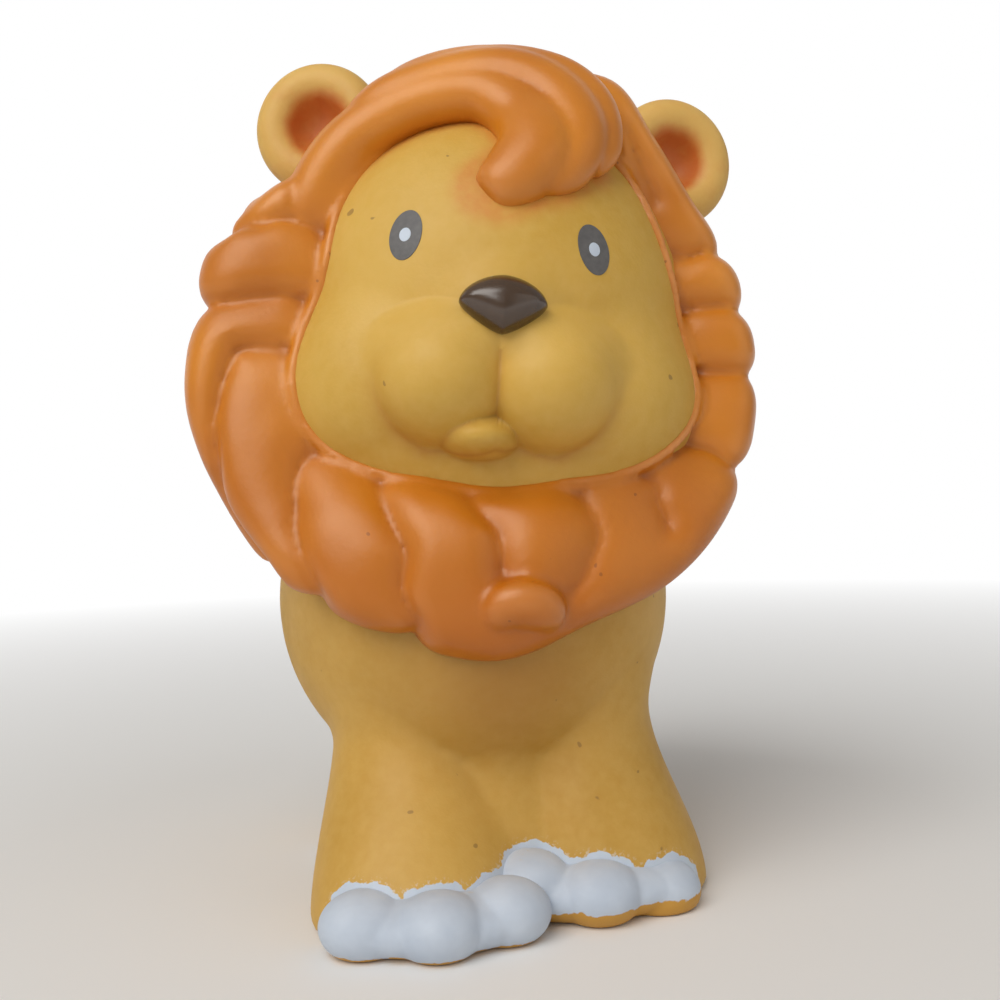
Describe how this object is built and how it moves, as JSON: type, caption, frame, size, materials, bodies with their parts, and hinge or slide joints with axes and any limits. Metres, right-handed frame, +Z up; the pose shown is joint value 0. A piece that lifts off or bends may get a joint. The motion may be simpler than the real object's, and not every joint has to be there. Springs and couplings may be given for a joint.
{
  "type": "toy lion figure",
  "caption": "Small standing toy lion of moulded vinyl: a turning head in a wrap-round mane of rounded locks, cupped ears, a chunky body on short legs and white-painted toes.",
  "frame": {"origin": "centre of the figure's bounds on the floor, at the soles of the feet", "axes": "+Z up, the lion faces -Y, its own left side is towards +X"},
  "size_m": [0.0514, 0.054, 0.0758],
  "materials": {
    "yellow_vinyl": "satin, a little waxy",
    "orange_vinyl": "satin sheen",
    "nose_paint": "glossy",
    "eye_print": "printed, matte",
    "white_paint": "painted, matte",
    "plug_plastic": "moulded, matte"
  },
  "bodies": {
    "torso": {"body": "yellow_vinyl", "front_right_toes": "white_paint", "front_left_toes": "white_paint", "hind_right_toes": "white_paint", "hind_left_toes": "white_paint", "tail": "yellow_vinyl", "tail_tuft": "orange_vinyl"},
    "head_assembly": {"head": "yellow_vinyl", "mane": "orange_vinyl", "left_ear": "yellow_vinyl", "right_ear": "yellow_vinyl", "nose": "nose_paint", "left_eye": "eye_print", "right_eye": "eye_print", "left_eye_glint": "white_paint", "right_eye_glint": "white_paint", "neck_plug": "plug_plastic"}
  },
  "joints": [
    {"name": "head_turn", "type": "hinge", "parent": "torso", "child": "head_assembly", "pos_m": [-0.0003, -0.00213, 0.026], "axis": [0, -0.7071, 0.7071], "range_deg": [-28, 42]}
  ]
}
